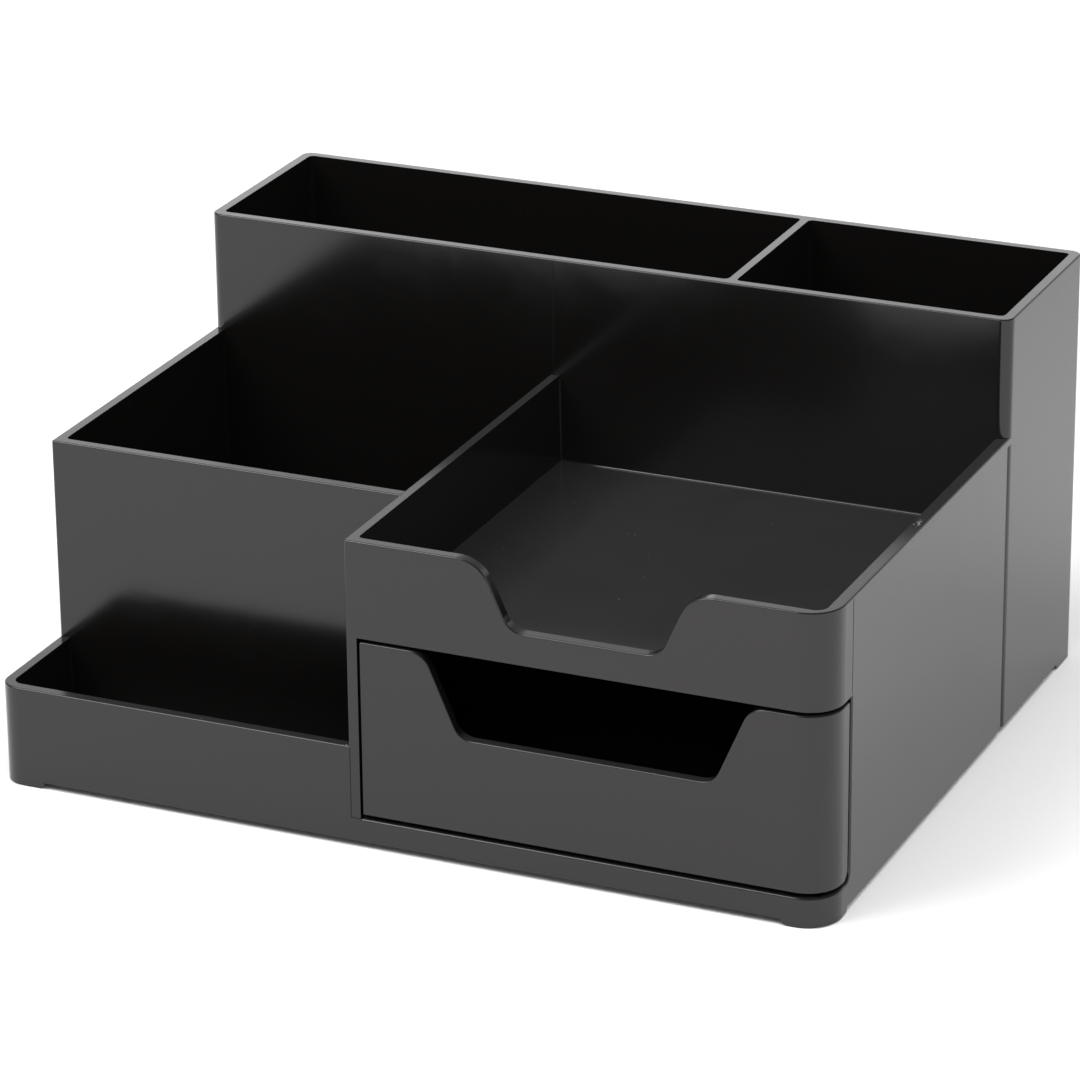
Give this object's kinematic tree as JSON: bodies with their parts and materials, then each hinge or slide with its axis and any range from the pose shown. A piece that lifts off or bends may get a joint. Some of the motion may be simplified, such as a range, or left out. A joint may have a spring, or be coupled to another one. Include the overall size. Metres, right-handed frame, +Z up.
{
  "type": "desk organiser with drawer",
  "caption": "Black moulded desk organiser: a tall divided tower at the back, a deep pocket behind a low clip tray, and an open tray over a sliding drawer that wraps the front corner.",
  "frame": {"origin": "on the desk, under the middle of the organiser's footprint", "axes": "+X along the front towards the drawer's side, +Y from the drawer's front towards the tower, +Z up from the desk"},
  "size_m": [0.254, 0.206, 0.1285],
  "materials": {
    "black_plastic": "satin black moulding, polished tool, no grain",
    "pad_rubber": "matt black"
  },
  "bodies": {
    "organiser": {"housing": "black_plastic", "pad_front_left": "pad_rubber", "pad_front_right": "pad_rubber", "pad_back_left": "pad_rubber", "pad_back_right": "pad_rubber"},
    "drawer": {"drawer": "black_plastic"}
  },
  "joints": [
    {"name": "drawer_slide", "type": "slide", "parent": "organiser", "child": "drawer", "axis": [0, -1, 0], "range_m": [0, 0.0965]}
  ]
}
